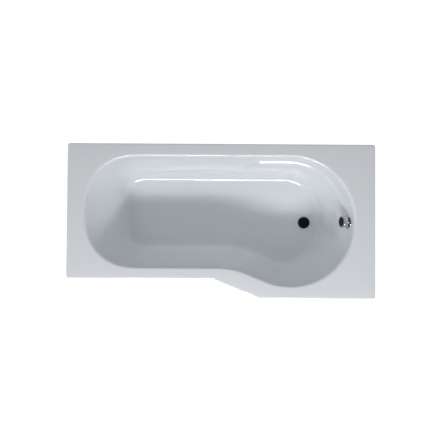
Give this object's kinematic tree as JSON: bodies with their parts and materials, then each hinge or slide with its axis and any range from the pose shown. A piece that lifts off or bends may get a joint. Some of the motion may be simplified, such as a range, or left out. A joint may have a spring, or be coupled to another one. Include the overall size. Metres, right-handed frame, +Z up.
{
  "type": "p shaped shower bath",
  "caption": "P-shaped shower bath with a rounded bathing end, a wider showering end, pop-up waste worked by an overflow knob, and adjustable feet.",
  "frame": {"origin": "on the floor under the middle of the rim's overall length and width", "axes": "+X from the head end to the showering end, +Y to the wall side, +Z up"},
  "size_m": [1.7, 0.85, 0.56],
  "materials": {
    "acrylic": "polished white acrylic, glass-fibre backed",
    "chipboard": "sealed chipboard",
    "timber": "planed softwood",
    "zinc_steel": "bright zinc plate",
    "black_plastic": "moulded black nylon",
    "chrome": "polished chrome",
    "black_gloss": "polished black",
    "rubber": "matt rubber",
    "white_plastic": "moulded white polypropylene"
  },
  "bodies": {
    "bath": {"bath_shell": "acrylic", "base_board": "chipboard", "head_rail": "zinc_steel", "middle_rail": "zinc_steel", "foot_rail": "zinc_steel", "rail_end_caps": "black_plastic", "rail_screws": "zinc_steel", "head_batten": "timber", "foot_batten": "timber", "rear_batten": "timber", "front_batten": "timber", "step_batten": "timber", "wide_batten": "timber", "wall_clips": "zinc_steel", "waste_flange": "chrome", "waste_seal_top": "rubber", "waste_seal_bottom": "rubber", "waste_strainer": "chrome", "waste_body": "white_plastic", "rocker_pin": "zinc_steel", "overflow_plate": "chrome", "overflow_seal": "rubber", "overflow_body": "white_plastic", "overflow_hose": "white_plastic", "hose_nuts": "white_plastic", "lift_cable": "black_plastic", "cable_clips": "black_plastic", "trap_washer": "rubber", "trap_nut": "white_plastic", "trap_body": "white_plastic", "trap_outlet_nut": "white_plastic"},
    "leg_1": {"leg_stud_1": "zinc_steel", "foot_pad_1": "black_plastic"},
    "nuts_1": {"leg_nuts_1": "zinc_steel"},
    "leg_2": {"leg_stud_2": "zinc_steel", "foot_pad_2": "black_plastic"},
    "nuts_2": {"leg_nuts_2": "zinc_steel"},
    "leg_3": {"leg_stud_3": "zinc_steel", "foot_pad_3": "black_plastic"},
    "nuts_3": {"leg_nuts_3": "zinc_steel"},
    "leg_4": {"leg_stud_4": "zinc_steel", "foot_pad_4": "black_plastic"},
    "nuts_4": {"leg_nuts_4": "zinc_steel"},
    "leg_5": {"leg_stud_5": "zinc_steel", "foot_pad_5": "black_plastic"},
    "nuts_5": {"leg_nuts_5": "zinc_steel"},
    "leg_6": {"leg_stud_6": "zinc_steel", "foot_pad_6": "black_plastic"},
    "nuts_6": {"leg_nuts_6": "zinc_steel"},
    "knob": {"overflow_knob": "chrome", "overflow_spindle": "zinc_steel"},
    "plug": {"plug_cap": "black_gloss", "plug_seal": "rubber", "plug_stem": "zinc_steel"},
    "rocker": {"lift_rocker": "white_plastic"}
  },
  "joints": [
    {"name": "leg_1_height", "type": "slide", "parent": "bath", "child": "leg_1", "axis": [0, 0, 1], "range_m": [-0.015, 0.03]},
    {"name": "nuts_1_turn", "type": "hinge", "parent": "bath", "child": "nuts_1", "pos_m": [-0.44, -0.235, 0.1265], "axis": [0, 0, 1], "range_deg": [-6240, 3120]},
    {"name": "leg_2_height", "type": "slide", "parent": "bath", "child": "leg_2", "axis": [0, 0, 1], "range_m": [-0.015, 0.03]},
    {"name": "nuts_2_turn", "type": "hinge", "parent": "bath", "child": "nuts_2", "pos_m": [-0.44, 0.33, 0.1265], "axis": [0, 0, 1], "range_deg": [-6240, 3120]},
    {"name": "leg_3_height", "type": "slide", "parent": "bath", "child": "leg_3", "axis": [0, 0, 1], "range_m": [-0.015, 0.03]},
    {"name": "nuts_3_turn", "type": "hinge", "parent": "bath", "child": "nuts_3", "pos_m": [-0.02, -0.235, 0.1265], "axis": [0, 0, 1], "range_deg": [-6240, 3120]},
    {"name": "leg_4_height", "type": "slide", "parent": "bath", "child": "leg_4", "axis": [0, 0, 1], "range_m": [-0.015, 0.03]},
    {"name": "nuts_4_turn", "type": "hinge", "parent": "bath", "child": "nuts_4", "pos_m": [-0.02, 0.33, 0.1265], "axis": [0, 0, 1], "range_deg": [-6240, 3120]},
    {"name": "leg_5_height", "type": "slide", "parent": "bath", "child": "leg_5", "axis": [0, 0, 1], "range_m": [-0.015, 0.03]},
    {"name": "nuts_5_turn", "type": "hinge", "parent": "bath", "child": "nuts_5", "pos_m": [0.4, -0.34, 0.1265], "axis": [0, 0, 1], "range_deg": [-6240, 3120]},
    {"name": "leg_6_height", "type": "slide", "parent": "bath", "child": "leg_6", "axis": [0, 0, 1], "range_m": [-0.015, 0.03]},
    {"name": "nuts_6_turn", "type": "hinge", "parent": "bath", "child": "nuts_6", "pos_m": [0.4, 0.33, 0.1265], "axis": [0, 0, 1], "range_deg": [-6240, 3120]},
    {"name": "knob_turn", "type": "hinge", "parent": "bath", "child": "knob", "pos_m": [0.71571, -0.0005, 0.485], "axis": [-0.9624, 0, 0.2715], "range_deg": [0, 90]},
    {"name": "plug_lift", "type": "slide", "parent": "bath", "child": "plug", "axis": [0, 0, 1], "range_m": [0, 0.0121]},
    {"name": "rocker_swing", "type": "hinge", "parent": "bath", "child": "rocker", "pos_m": [0.53603, -0.0005, 0.118], "axis": [0, 1, 0], "range_deg": [0, 35.2]}
  ],
  "couplings": [
    {"joint": "nuts_1_turn", "follows": "leg_1_height", "rad_per_m": -3590.4},
    {"joint": "nuts_2_turn", "follows": "leg_2_height", "rad_per_m": -3590.4},
    {"joint": "nuts_3_turn", "follows": "leg_3_height", "rad_per_m": -3590.4},
    {"joint": "nuts_4_turn", "follows": "leg_4_height", "rad_per_m": -3590.4},
    {"joint": "nuts_5_turn", "follows": "leg_5_height", "rad_per_m": -3590.4},
    {"joint": "nuts_6_turn", "follows": "leg_6_height", "rad_per_m": -3590.4},
    {"joint": "plug_lift", "follows": "knob_turn", "m_per_rad": 0.0076394},
    {"joint": "rocker_swing", "follows": "knob_turn", "ratio": 0.38889}
  ]
}
